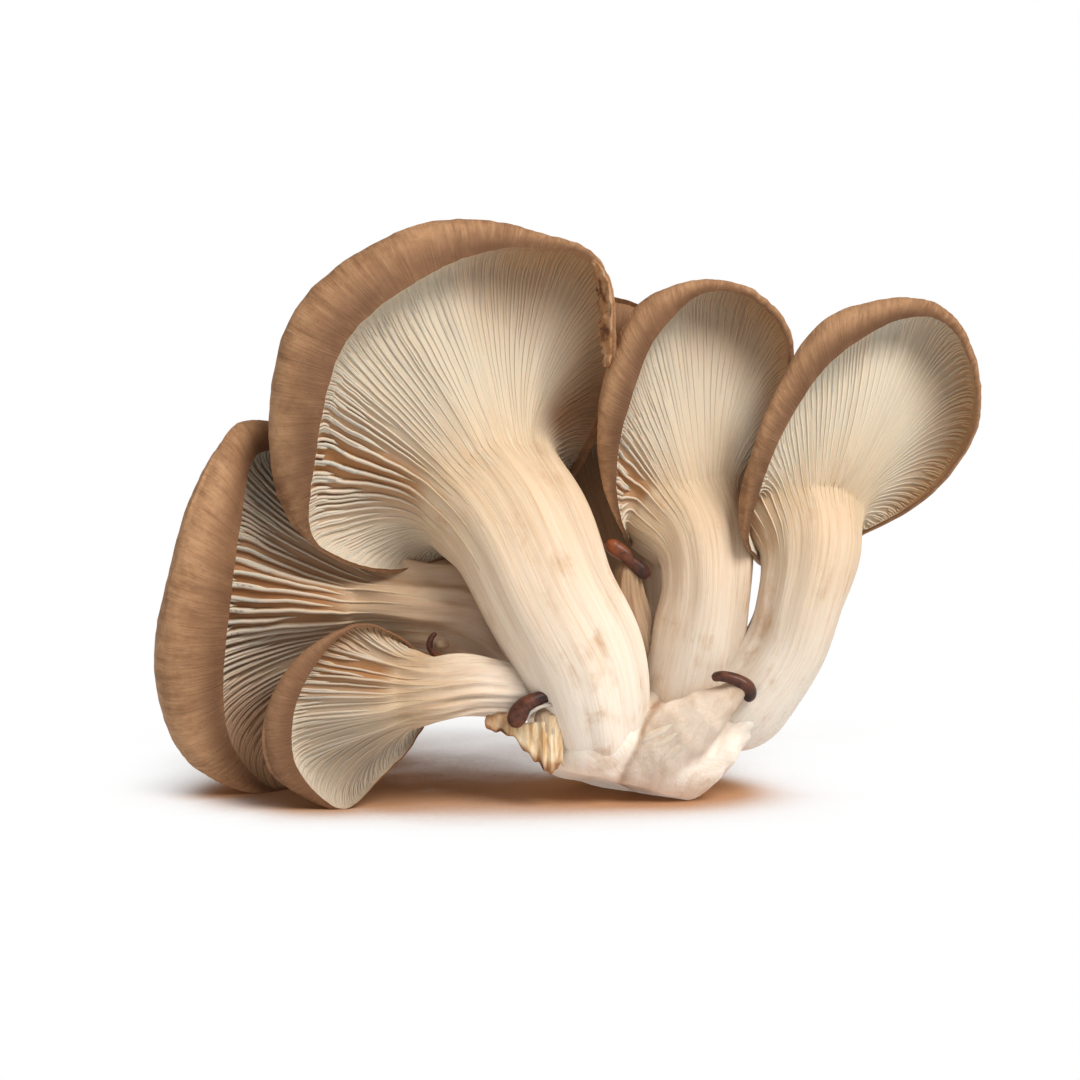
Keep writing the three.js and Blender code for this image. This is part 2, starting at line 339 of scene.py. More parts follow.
def makeSkinMaterial():
    look = {
        "skin": colour(158, 114, 78), "dark": colour(118, 83, 57),
        "light": colour(188, 146, 108), "edge": colour(112, 78, 54), "even": (0.5, 0.5, 0.5, 1),
        "roughness": 0.68, "specular": 0.2, "scatter": 0.06, "radius": 1.0, "bump": 0.3,
    }
    material, tree, place = startMaterial("capSkin")
    flow, zone = named(tree, "flow", "Vector"), named(tree, "zone")
    fibre = noiseField(tree, stretched(tree, flow, (80, 80, 6)), 1.0, 4, 0.6, 0.5)
    streak = noiseField(tree, stretched(tree, flow, (24, 24, 5)), 1.0, 4, 0.6, 0.6)
    cloud = noiseField(tree, place, 90, 4, 0.65)
    speck = noiseField(tree, place, 800, 2, 0.6)
    # the fibres fade out towards the crown, where they would all meet
    outer = spread(tree, zone, 2.98, 2.6)
    fibre = blended(tree, outer, look["even"], fibre)
    streak = blended(tree, outer, look["even"], streak)
    body = blended(tree, spread(tree, cloud, 0.3, 0.7), look["dark"], look["light"])
    body = layered(tree, look, blended(tree, 0.4, body, look["skin"]), [
        (streak, 0.45, 0.7, 0.45, "light"),
        (streak, 0.5, 0.3, 0.4, "dark"),
        (fibre, 0.45, 0.7, 0.28, "light"),
        (speck, 0.45, 0.8, 0.3, "dark"),
        (zone, 2.14, 2.02, spread(tree, cloud, 0.3, 0.6, 0.5, 1.0), "edge"),
    ])
    # darkens the whole skin towards the edge colour by each mushroom's given share
    body = blended(tree, named(tree, "skinDarkening"), body, look["edge"])
    height = sums(tree, "ADD", fibre, times(tree, speck, 0.4))
    return finishMaterial(material, body, height, look)


def makeGillMaterial():
    look = {
        "root": colour(192, 174, 150), "side": colour(202, 188, 168),
        "edge": colour(207, 195, 177), "tan": colour(196, 166, 130),
        "pleatShade": colour(180, 134, 92), "brown": colour(182, 146, 110),
        # deep is the colour of painted shade; shade is the gills' own tan together with painted
        # shade
        "deep": colour(116, 84, 58), "shade": colour(166, 126, 90), "cream": colour(216, 190, 156),
        "roughness": 0.62, "specular": 0.2, "scatter": 0.3, "radius": 1.0, "bump": 0.08,
    }
    material, tree, place = startMaterial("gillFlesh")
    tall, zone, pleated, tint = [named(tree, name) for name in ("tall", "zone", "pleated", "tint")]
    cloud = noiseField(tree, place, 60, 3, 0.55)
    grain = noiseField(tree, place, 900, 2, 0.6)
    # painted shade: where the gills are pleated, the blades' roots in the valleys are darkened
    root = blended(tree, pleated, look["root"], look["pleatShade"])
    raised = sums(tree, "MULTIPLY_ADD", pleated, -0.4, tall)
    body = layered(tree, look, root, [
        # the blades are darker towards their roots: partly the gill flesh's own colour deeper in,
        # partly painted shade between the blades
        (raised, 0.0, 0.6, 1.0, "side"),
        (tall, 0.5, 1.0, 1.0, "edge"),
        (zone, 1.5, 0.75, 0.8, "cream"),
        (tint, 0.3, 1.0, 0.12, "tan"),
        # browning near the edge on one side of the cap, partly real and partly painted shade
        (zone, 1.3, 1.9, "brownedAndShaded", "brown"),
        # painted shade: near those spots the gills take the dark deep colour
        (zone, 0.95, 1.4, "deep", "deep"),
        (cloud, 0.4, 0.72, spread(tree, zone, 1.45, 0.85, 0.1, 0.75), "tan"),
    ])
    # the same on the gills: partly their own tan, partly painted shade that darkens the less lit
    # gills
    body = blended(tree, named(tree, "tanAndShade"), body, look["shade"], "MULTIPLY")
    return finishMaterial(material, body, grain, look)


def makeBudMaterial():
    look = {
        "dark": colour(44, 24, 19), "mid": colour(84, 46, 33), "warm": colour(158, 86, 46),
        "roughness": 0.42, "specular": 0.35, "scatter": 0.08, "radius": 0.6, "bump": 0.12,
    }
    material, tree, place = startMaterial("budSkin")
    cloud = noiseField(tree, place, 420, 3, 0.6)
    grain = noiseField(tree, place, 1500, 2, 0.6)
    body = layered(tree, look, look["dark"], [
        (cloud, 0.35, 0.7, 1.0, "mid"),
        (cloud, 0.25, 0.6, "brownedAndShaded", "warm"),
    ])
    return finishMaterial(material, body, grain, look)


def makeDriedMaterial():
    look = {
        "cream": colour(232, 212, 178), "tan": colour(200, 158, 106),
        "brownedAndShaded": colour(146, 94, 54), "dark": colour(84, 50, 34),
        "roughness": 0.7, "specular": 0.2, "scatter": 0.15, "radius": 0.8, "bump": 0.35,
    }
    material, tree, place = startMaterial("driedFlesh")
    brownedAndShaded = named(tree, "brownedAndShaded")
    fibre = noiseField(tree, stretched(tree, place, (900, 900, 160)), 1.0, 3, 0.6, 0.4)
    cloud = noiseField(tree, place, 380, 3, 0.6)
    body = blended(tree, spread(tree, fibre, 0.35, 0.7), look["cream"], look["tan"])
    singed = times(tree, brownedAndShaded, spread(tree, cloud, 0.3, 0.6, 0.7, 1.0))
    body = blended(tree, singed, body, look["brownedAndShaded"])
    body = layered(tree, look, body, [
        (cloud, 0.5, 0.65, spread(tree, brownedAndShaded, 0.6, 1.0), "dark"),
    ])
    return finishMaterial(material, body, fibre, look)


fleshMaterial = makeFleshMaterial()
skinMaterial = makeSkinMaterial()
gillMaterial = makeGillMaterial()
budMaterial = makeBudMaterial()
driedMaterial = makeDriedMaterial()
print("materials made")


# A mushroom's net: rings of points from the foot, up the stem, over the gills to the cap's edge,
# round its rolled skin and up the dome to the crown. These values hold for each mushroom that
# doesn't give its own.

netRows = {"stem": 60, "gills": 56, "roll": 12, "dome": 44}
netShape = {
    "footShare": 0.22,  # share of a stem that its rounded foot takes
    "flare": 0.35,  # how far a stem runs straight on before it opens into the gills
    "cup": 0.42,  # how far the gills curve back before they reach the cap's edge
    "tuck": 0.1,  # how far they turn inwards under that edge
    "rollRise": 0.6,  # height of the rolled edge, as a share of how far it swells out
    "leastRoll": 0.3,
    "edgeSamples": 3000,
    "frays": [(0.3, 9), (0.06, 2.2), (0.06, 0.8)],  # heights and lengths of the edge's waves
    "rise": (0.3, 11),  # the same for how the edge goes up and down
    "folds": 0.05,  # dents in a stem, as a share of its radius
    "cords": 0.14,  # height of the cords that run up a stem
    "grooves": 0.12,
    "hollows": (0.6, 16),  # depth and length of the hollows in the skin
    "wrinkles": (0.04, 0.1),
    "stemGill": (0.3, 0.35),  # height of the gills on a stem, and what pleating adds
    "clearOfFloor": 0.02,
    "paintedShadeSpots": (), "tanAndShade": 0.0, "skinDarkening": 0.0,
}


def pleatAt(rim, shape):
    # how much of the pleating each point of the edge has, from 0 to 1
    away = np.linalg.norm(rim - np.array(shape["pleats"]["near"], float), axis=-1)
    return np.exp(-(away / shape["pleats"]["width"]) ** 2)


def mushroomNet(shape):
    columns, seed = shape["columns"], shape["seed"]
    # the columns stand evenly along the cap's edge, further apart where it's pleated
    fine = np.linspace(0, 1, shape["edgeSamples"] + 1)
    fineEdge = smoothLine(shape["edge"], True, fine)[:, :3]
    paces = np.linalg.norm(np.diff(fineEdge, axis=0), axis=1)
    crowding = 1 - shape["pleats"]["coarser"] * pleatAt(fineEdge[1:], shape)
    travelled = np.concatenate([[0], (paces * crowding).cumsum()])
    u = np.arange(columns) / columns
    edge = smoothLine(shape["edge"], True, np.interp(u * travelled[-1], travelled, fine))
    rim = edge[:, :3]
    roll = np.maximum(edge[:, 3], shape["leastRoll"])
    ring = circle(u * fullTurn)

    steps = np.linspace(0, 1, netRows["stem"] + 1)
    stem = smoothLine(shape["stem"], False, steps)
    middle, radius = stem[:, :3], stem[:, 3]
    nudge = 1e-3
    ahead = smoothLine(shape["stem"], False, np.clip(steps + nudge, 0, 1))[:, :3]
    behind = smoothLine(shape["stem"], False, np.clip(steps - nudge, 0, 1))[:, :3]
    tangent = unit(ahead - behind)
    neckUp, neck = tangent[-1], middle[-1]
    side = unit(np.cross(neckUp, [0.3, 0.2, 1.0]))
    sides = np.zeros_like(middle)
    for k in range(len(steps) - 1, -1, -1):
        side = unit(side - (side @ tangent[k]) * tangent[k])
        sides[k] = side
    others = np.cross(tangent, sides)

    away = rim - neck
    away = away - (away @ neckUp)[:, None] * neckUp
    angle = np.arctan2(away @ others[-1], away @ sides[-1])
    away = unit(away)
    crown = np.array(shape["crown"], float)
    capUp = unit(crown - rim.mean(0))

    # a live cap edge is never even: long waves, short scallops and small frays
    pleated = pleatAt(rim, shape)
    frays = sum(high * waves(rim, long, seed + k) for k, (high, long) in enumerate(shape["frays"]))
    rim = rim + away * frays[:, None]
    high, long = shape["rise"]
    rim = rim + capUp * (high * waves(rim, long, seed + 3))[:, None]

    rings = []
    around = circle(angle)
    for k, t in enumerate(steps):
        rounded = math.sqrt(1 - (1 - min(1, t / shape["footShare"])) ** 2)
        folds = shape["folds"] * waves(around + [0, 0, t * 1.3], 0.55, seed + 5)
        rows = around + [0, 0, t * 0.6]
        cords = shape["cords"] * smoothStep(0.0, 0.7, t) * waves(rows, 0.16, seed + 6)
        cords = cords + shape["grooves"] * waves(rows * [1, 1, 2.5], 0.3, seed + 7)
        wide = (radius[k] * (1 + folds) + cords)[:, None] * rounded
        rings.append(middle[k] + wide * (around[:, :1] * sides[k] + around[:, 1:2] * others[k]))
    neckRing = rings[-1]
    reach = np.linalg.norm(rim - neckRing, axis=1, keepdims=True)
    second = neckRing + unit(neckRing - rings[-2]) * reach * shape["flare"]
    third = rim + capUp * reach * shape["cup"] - away * reach * shape["tuck"]
    for g in np.linspace(0, 1, netRows["gills"] + 1)[1:]:
        rings.append((1 - g) ** 3 * neckRing + 3 * (1 - g) ** 2 * g * second
                     + 3 * (1 - g) * g * g * third + g**3 * rim)

    out = rim - crown
    drop = (out @ capUp)[:, None]
    out = out - drop * capUp
    width = np.linalg.norm(out, axis=1, keepdims=True)
    out = unit(out)
    swell = roll[:, None]
    for turn in np.linspace(0, math.pi / 2, netRows["roll"] + 1)[1:]:
        rings.append(rim + out * swell * math.sin(turn)
                     + capUp * swell * shape["rollRise"] * (1 - math.cos(turn)))
    drop = drop + swell * shape["rollRise"]
    # the skin lies in soft hollows, with faint wrinkles that run to the edge
    hollow, wrinkle = shape["hollows"], shape["wrinkles"]
    loose = smoothStep(0.3, 3, roll)
    for turn in np.linspace(0, math.pi / 2, netRows["dome"] + 1)[1:]:
        dome = crown + out * (width + swell) * math.cos(turn) + capUp * drop * (1 - math.sin(turn))
        ripple = ring + [0, 0, 0.3 * math.sin(turn)]
        free = math.cos(turn) * math.sin(turn * 2) ** 0.5 if turn < math.pi / 2 - 1e-6 else 0
        bump = hollow[0] * waves(dome, hollow[1], seed + 8) * math.cos(turn) * loose
        bump = bump + wrinkle[0] * waves(ripple, wrinkle[1], seed + 9) * free
        rings.append(dome + (capUp * math.sin(turn) + out * math.cos(turn)) * bump[:, None])
    rings = np.array(rings)
    rings[..., 2] = np.maximum(rings[..., 2], shape["clearOfFloor"])
    return rings, ring, u, pleated


def bedOf(rings, pleated, shape):
    # how far the gills stand out, and the same net sunk by as much for them to stand on
    stemRows, gillRows = netRows["stem"], netRows["gills"]
    last = stemRows + gillRows
    part = rings[:last + 1]
    roundways = np.roll(part, -1, axis=1) - np.roll(part, 1, axis=1)
    lengthways = np.gradient(part, axis=0)
    outward = unit(np.cross(roundways, lengthways))
    middles = part[:stemRows].mean(1, keepdims=True)
    if ((part[:stemRows] - middles) * outward[:stemRows]).sum() < 0:
        outward = -outward
    zone = np.concatenate([np.linspace(0, 1, stemRows + 1), np.linspace(1, 2, gillRows + 1)[1:]])
    g = zone[:, None]
    deep = shape["gillHeight"] * (1 + (shape["pleats"]["deeper"] - 1) * pleated)
    onStem = shape["stemGill"][0] + shape["stemGill"][1] * pleated
    height = onStem * smoothStep(0.4, 1.0, g) + (deep - onStem) * smoothStep(0.9, 1.6, g)
    height = height * (1 - 0.7 * smoothStep(1.75, 1.98, g)) * np.ones(part.shape[:2])
    height[-1] = 0
    pace = np.linalg.norm(roundways, axis=-1) / 2 * shape["columns"]
    return part - outward * height[..., None], outward, unit(roundways), height, pace, zone


# The blades of the gills stand in a row along the bed, each one sampled onto it.

def makeGillTree():
    tree = bpy.data.node_groups.new("gillBlades", "GeometryNodeTree")
    face = tree.interface
    face.new_socket("Geometry", in_out="INPUT", socket_type="NodeSocketGeometry")
    face.new_socket("Geometry", in_out="OUTPUT", socket_type="NodeSocketGeometry")
    for name, kind in (
        ("Blades", "Int"), ("Segments", "Int"), ("Phase", "Float"), ("Start", "Float"),
        ("Start Spread", "Float"), ("End", "Float"), ("Share", "Float"),
        ("Root Width", "Float"), ("Edge Width", "Float"), ("Sway", "Float"), ("Lean", "Float"),
        ("Taper", "Float"), ("Seed", "Int"), ("Material", "Material"),
    ):
        face.new_socket(name, in_out="INPUT", socket_type=f"NodeSocket{kind}")
    given = put(tree, "NodeGroupInput").outputs
    points = put(tree, "GeometryNodePoints", {"Count": given["Blades"]})
    blade = put(tree, "GeometryNodeMeshCube", {
        "Size": (1, 1, 1), "Vertices X": given["Segments"], "Vertices Y": 2, "Vertices Z": 3,
    })
    placed = put(tree, "GeometryNodeInstanceOnPoints", {
        "Points": points.outputs[0], "Instance": blade.outputs["Mesh"],
    })
    index = put(tree, "GeometryNodeInputIndex").outputs[0]
    numbered = put(tree, "GeometryNodeStoreNamedAttribute", {
        "Geometry": placed.outputs[0], "Name": "blade", "Value": index,
    }, data_type="FLOAT", domain="INSTANCE")
    real = put(tree, "GeometryNodeRealizeInstances", {"Geometry": numbered.outputs[0]})

    number = put(tree, "GeometryNodeInputNamedAttribute", {"Name": "blade"},
                 data_type="FLOAT").outputs[0]

    def dice(shift, low, high):
        seed = sums(tree, "ADD", given["Seed"], shift)
        return put(tree, "FunctionNodeRandomValue", {
            "Min": low, "Max": high, "ID": number, "Seed": seed,
        }, data_type="FLOAT").outputs[1]

    position = put(tree, "GeometryNodeInputPosition").outputs[0]
    place = put(tree, "ShaderNodeSeparateXYZ", {0: position})
    along = sums(tree, "ADD", place.outputs["X"], 0.5)
    tall = sums(tree, "ADD", place.outputs["Z"], 0.5)
    start = sums(tree, "MULTIPLY_ADD", dice(1, 0.0, 1.0), given["Start Spread"], given["Start"])
    length = sums(tree, "SUBTRACT", given["End"], start)
    zone = sums(tree, "MULTIPLY_ADD", along, length, start)

    spot = sums(tree, "ADD", sums(tree, "ADD", number, given["Phase"]), dice(2, -0.12, 0.12))
    spot = sums(tree, "DIVIDE", spot, given["Blades"])
    angle = times(tree, spot, fullTurn)
    ringed = put(tree, "ShaderNodeCombineXYZ", {
        "X": sums(tree, "COSINE", angle), "Y": sums(tree, "SINE", angle),
        "Z": zone,
    }).outputs[0]
    own = vectors(tree, "ADD", ringed, put(tree, "ShaderNodeCombineXYZ", {"X": number}).outputs[0])
    # the whole row swings and ripples together, and each blade twitches on its own
    swing, ripple, twitch = [
        sums(tree, "SUBTRACT", noiseField(tree, vector, scale, 1.0), 0.5)
        for vector, scale in ((ringed, 2.0), (ringed, 7.0), (own, 2.2))
    ]
    spot = sums(tree, "MULTIPLY_ADD", swing, given["Sway"], spot)
    spot = sums(tree, "MULTIPLY_ADD", ripple, times(tree, given["Sway"], 0.3), spot)
    spot = sums(tree, "FRACT", sums(tree, "ADD", spot, 1.0))
    spotOnBed = put(tree, "ShaderNodeCombineXYZ", {
        "X": spot, "Y": times(tree, zone, 0.5),
    }).outputs[0]

    netUv = put(tree, "GeometryNodeInputNamedAttribute", {"Name": "netUv"},
                data_type="FLOAT_VECTOR").outputs[0]

    def sampled(value, kind="FLOAT_VECTOR"):
        return put(tree, "GeometryNodeSampleUVSurface", {
            "Mesh": given["Geometry"], "Value": value, "UV Map": netUv, "Sample UV": spotOnBed,
        }, data_type=kind).outputs[0]

    def onBed(name, kind="FLOAT_VECTOR"):
        return sampled(put(tree, "GeometryNodeInputNamedAttribute", {"Name": name},
                           data_type=kind).outputs[0], kind)

    foot = sampled(position)
    outward = onBed("outward")
    across = onBed("across")
    high = onBed("high", "FLOAT")
    spacing = times(tree, onBed("pace", "FLOAT"), given["Share"])
    rise = spread(tree, along, 0.0, given["Taper"])
    high = times(tree, times(tree, high, rise), dice(3, 0.92, 1.05))
    lift = sums(tree, "MULTIPLY_ADD", high, tall, times(tree, high, -0.15))
    lift = sums(tree, "SUBTRACT", lift, 0.2 * mm)
    crowded = put(tree, "ShaderNodeMapRange", {
        "Value": zone, "From Min": 1.65, "From Max": 1.95, "To Min": 1.0, "To Max": 0.6,
    }).outputs["Result"]
    spacing = times(tree, spacing, crowded)
    sharp = sums(tree, "MULTIPLY_ADD", onBed("pleated", "FLOAT"), -0.3, 0.6)
    narrow = sums(tree, "POWER", tall, sharp)
    wider = sums(tree, "SUBTRACT", given["Edge Width"], given["Root Width"])
    widthHere = sums(tree, "MULTIPLY_ADD", narrow, wider, given["Root Width"])
    widthHere = times(tree, widthHere, spacing)
    widthHere = times(tree, widthHere, sums(tree, "MULTIPLY_ADD", rise, 0.8, 0.2))
    bend = times(tree, times(tree, given["Lean"], tall), high)
    bend = times(tree, bend, twitch)
    sideways = sums(tree, "MULTIPLY_ADD", place.outputs["Y"], widthHere, bend)
    spotInAir = vectors(tree, "ADD", foot, scaled(tree, outward, lift))
    spotInAir = vectors(tree, "ADD", spotInAir, scaled(tree, across, sideways))

    geometry = real.outputs[0]
    # the bed's pleating, its browning with painted shade, and its painted shade at the listed spots
    # carry over to the blades
    for name, value in (
        ("tall", tall), ("tint", dice(4, 0.0, 1.0)), ("zone", zone),
        ("pleated", onBed("pleated", "FLOAT")), ("brownedAndShaded", onBed("brownedAndShaded", "FLOAT")),
        ("deep", onBed("deep", "FLOAT")),
    ):
        geometry = put(tree, "GeometryNodeStoreNamedAttribute", {
            "Geometry": geometry, "Name": name, "Value": value,
        }, data_type="FLOAT", domain="POINT").outputs[0]
    moved = put(tree, "GeometryNodeSetPosition", {"Geometry": geometry, "Position": spotInAir})
    soft = put(tree, "GeometryNodeSetShadeSmooth", {"Geometry": moved.outputs[0]})
    solid = put(tree, "GeometryNodeRealizeInstances", {"Geometry": soft.outputs[0]})
    dressed = put(tree, "GeometryNodeSetMaterial", {
        "Geometry": solid.outputs[0], "Material": given["Material"],
    })
    put(tree, "NodeGroupOutput", {"Geometry": dressed.outputs[0]})
    return tree


gillTree = makeGillTree()


def grown(host, tree, name, inputs):
    # the tree's result on the host as a plain mesh object
    modifier = host.modifiers.new(name, "NODES")
    modifier.node_group = tree
    for item in tree.interface.items_tree:
        if item.item_type == "SOCKET" and item.in_out == "INPUT" and item.name in inputs:
            modifier[item.identifier] = inputs[item.name]
    graph = bpy.context.evaluated_depsgraph_get()
    graph.update()
    mesh = bpy.data.meshes.new_from_object(host.evaluated_get(graph), depsgraph=graph)
    host.modifiers.remove(modifier)
    mesh.name = name
    thing = bpy.data.objects.new(name, mesh)
    bpy.context.collection.objects.link(thing)
    return thing


def joinedAs(name, parts):
    with bpy.context.temp_override(active_object=parts[0], selected_editable_objects=parts):
        bpy.ops.object.join()
    parts[0].name = name
    parts[0].data.name = name
    return parts[0]


# For each kind of gill: how many stand to one long one, its share of the sections, where its
# row stands between the long ones, where along the zone the blades start, how far those starts
# are spread, and over how much of its length a blade rises.

gillKinds = {
    "long": (1, 1.0, 0.5, 0.35, 0.4, 0.25),
    "middling": (1, 0.7, 0.0, 0.85, 0.5, 0.3),
    "short": (2, 0.55, 0.25, 1.35, 0.25, 0.25),
    "shortest": (4, 0.3, 0.125, 1.62, 0.2, 0.3),
}
gillShape = {
    "End": 1.985, "Root Width": 1.05, "Edge Width": 0.5, "Sway": 0.012, "Lean": 0.5,
    "Material": gillMaterial,
}


def makeMushroom(node, shape):
    shape = {**netShape, **shape}
    rings, ring, u, pleated = mushroomNet(shape)
    rows, columns, _ = rings.shape
    bed, outward, across, high, pace, zoneRows = bedOf(rings, pleated, shape)
    rim = rings[len(bed) - 1]
    # on the side that each mushroom names, the gills and bed near the edge are browned: partly the
    # edge's own browning, partly painted shade where the edge curls in or the gills face down
    towardBrownedShadedSide = unit(rim - rim.mean(0)) @ unit(np.array(shape["brownedShadedSide"], float))
    brownedAndShaded = smoothStep(0.2, 0.9, towardBrownedShadedSide)
    # painted shade: near each listed spot on the cap's edge, the gills and the bed between them are
    # darkened towards the deep colour, for the shade that falls there
    deep = 0 * brownedAndShaded
    for shadeSpot in shape["paintedShadeSpots"]:
        away = np.linalg.norm(rim - shadeSpot["near"], axis=-1)
        deep = np.maximum(deep, shadeSpot["share"] * np.exp(-(away / shadeSpot["width"]) ** 2))
    roundRim = {"pleated": pleated, "brownedAndShaded": brownedAndShaded, "deep": deep}
    body = rings.copy()
    body[:len(bed)] = bed
    dome = rows - len(bed)
    zone = np.concatenate([zoneRows, 2 + np.linspace(0, 1, dome + 1)[1:]])
    flow = np.repeat(ring[None], rows, 0)
    flow[..., 2] = zone[:, None]

    points, faces = closedNet(body)
    faceRow = np.repeat(np.arange(1, rows - 2), columns)
    skin = (faceRow >= len(bed) - 1).astype(int)
    skin = np.concatenate([skin, np.tile([0, 1], columns)])
    materials = (fleshMaterial, skinMaterial)
    thing = newObject(f"{node}_body", toFrame(points), faces, materials, skin, 50)
    ends = np.array([[0, 0, 0], [0, 0, 3]])
    keep(thing, "flow", np.vstack([flow[1:-1].reshape(-1, 3), ends]))
    keep(thing, "zone", np.concatenate([np.repeat(zone[1:-1], columns), [0, 3]]))
    for name, values in roundRim.items():
        keep(thing, name, np.append(np.tile(values, rows - 2), [0, 0]))
    for name in ("tanAndShade", "skinDarkening"):
        keepEverywhere(thing, name, shape[name])
    turnOut(thing)

    # the bed is the same surface opened along one line, with the gills' directions on it
    wide = np.concatenate([np.arange(columns), [0]])
    bedPoints = toFrame(bed[:, wide].reshape(-1, 3))
    host = newObject(f"{node}_bed", bedPoints, netFaces(len(bed), columns + 1, False))
    uAcross, vAlong = np.meshgrid(np.append(u, 1.0), zoneRows / 2)
    keep(host, "netUv", np.stack([uAcross, vAlong, 0 * uAcross], -1))
    for name, values in (("outward", outward), ("across", across), ("high", high * mm),
                         ("pace", pace * mm)):
        keep(host, name, values[:, wide])
    for name, values in roundRim.items():
        keep(host, name, np.tile(values[wide], len(bed)))
    blades = []
    for kind, (count, share, phase, start, spreadOut, taper) in gillKinds.items():
        blades.append(grown(host, gillTree, f"{node}_{kind}", {
            **gillShape, "Blades": count * shape["longGills"],
            "Segments": int(shape["gillSections"] * share), "Phase": phase, "Start": start,
            "Start Spread": spreadOut, "Taper": taper, "Share": 1 / (4 * shape["longGills"]),
            "Seed": shape["seed"] * 10,
        }))
    bpy.data.objects.remove(host)
    gills = joinedAs(f"{node}_gills", blades)
    # the gills' own share of tan and painted shade
    keepEverywhere(gills, "tanAndShade", shape.get("gillTanAndShade", shape["tanAndShade"]))
    for piece, slot in ((thing, "mushroom_flesh"), (gills, "gills")):
        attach(piece, "root")
    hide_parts(node)
    if "tear" in shape:
        makeTear(node, shape["tear"], rings[:len(bed)], outward)
    print(f"{node}: {len(thing.data.polygons)} faces and {len(gills.data.polygons)} in its gills")


def makeTear(node, tear, surface, outward):
    # where the cap's edge has dried, its skin has curled inwards over the gills and torn
    ends = [np.linalg.norm(surface[-1] - tear[key], axis=-1).argmin() for key in ("from", "to")]
    columns = np.arange(min(ends), max(ends) + 1)
    spots = np.linspace(columns[0], columns[-1], tear["fine"] * len(columns))
    left = np.floor(spots).astype(int)
    share = (spots - left)[:, None]
    right = np.minimum(left + 1, columns[-1])
    lines = surface[:, left] * (1 - share) + surface[:, right] * share
    normals = unit(outward[:, left] * (1 - share) + outward[:, right] * share)
    along = np.linspace(0, 1, len(spots))
    line = along[:, None] * [1, 0, 0]
    wide = tear["wide"] * np.sin(along * math.pi) ** 0.5
    wide = wide + tear["ragged"] * (0.6 * waves(line, 0.08, 51) + 0.5 * waves(line, 0.025, 52))
    wide = np.maximum(wide, tear["least"])
    back = 11
    rowLength = np.linalg.norm(lines[-1] - lines[-1 - back], axis=-1) / back
    steps = np.linspace(-0.12, 1, 10)  # across the strip, from just outside the edge
    pick = np.arange(len(spots))
    upper, lower = [], []
    for step in steps:
        row = len(surface) - 1 - np.clip(step * wide / rowLength, -0.5, 30)
        low = np.clip(np.floor(row).astype(int), 0, len(surface) - 2)
        part = (row - low)[:, None]
        place = lines[low, pick] * (1 - part) + lines[low + 1, pick] * part
        lift = tear["off"] + tear["curl"] * math.sin(max(step, 0) * math.pi * 0.8)
        lift = lift + 0.15 * waves(place, 1.3, 53)
        upper.append(place + normals[low, pick] * lift[:, None])
        lower.append(place - normals[low, pick] * tear["sunk"])
    net = np.array(upper + lower[::-1]).transpose(1, 0, 2)
    points, faces = closedNet(np.concatenate([net[:1], net, net[-1:]]))
    thing = newObject(f"{node}_tear", toFrame(points), faces, (driedMaterial,))
    brownedAndShaded = 0.9 + 0.1 * smoothStep(0.5, 0.9, np.concatenate([steps, steps[::-1]]))
    keep(thing, "brownedAndShaded", np.append(np.tile(brownedAndShaded, len(spots)), [0.6, 0.6]))
    turnOut(thing)
    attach(thing, "root")


def turnOut(thing):
    # makes a closed mesh's faces point outwards
    net = bmesh.new()
    net.from_mesh(thing.data)
    if net.calc_volume(signed=True) < 0:
        thing.data.flip_normals()
    net.free()


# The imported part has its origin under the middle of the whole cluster. The design's own origin
# lies this far from it, in millimetres.

designShift = np.array([-0.079, -12.376, 0.0])


def toFrame(points):
    return (np.asarray(points, float) + designShift) * mm


largeMushroom = {
    "stem": [
        [5.5, -1, 6, 8], [5.4, -5, 15.5, 11.2], [2.5, -8, 29, 13],
        [-4, -9, 42, 13.2], [-9.5, -5, 53.5, 14.2], [-15, 3, 59, 16],
    ],
    "edge": [
        [-51, -6, 53.5, 1.5], [-49.5, -9, 68, 8], [-46.5, -9.5, 83, 10.5],
        [-42, -8, 93.5, 11], [-33, -4, 101, 10], [-21, 0, 107, 7.5], [-8, 4, 110, 3.5],
        [6, 1, 106, 1], [8.5, -3, 93, 1.5], [6, 2, 76, 2], [-1, 14, 62, 2],
        [-14, 13, 50, 2], [-24, 5, 47.8, 1.5], [-33.5, 0.5, 46, 1],
        [-43, -4, 47.5, 1],
    ],
    "crown": [-23, 29, 80],
    "columns": 300, "seed": 11, "gillTanAndShade": 0.14,
    "longGills": 56, "gillSections": 30, "gillHeight": 0.55,
    "pleats": {"near": [-50, -8, 68], "width": 13, "coarser": 0.5, "deeper": 3.4},
    "brownedShadedSide": [1, 0, 0.6],
    "paintedShadeSpots": [
        {"near": [7, 1, 80], "width": 17, "share": 1.0},
        {"near": [-31, 1, 46], "width": 9, "share": 0.45},
    ],
    "tear": {
        "from": [5, 1, 107], "to": [8.5, -2, 86], "wide": 4.2, "ragged": 0.9, "least": 0.3,
        "off": 0.25, "curl": 0.6, "sunk": 0.3, "fine": 6,
    },
}
makeMushroom("large_mushroom", largeMushroom)

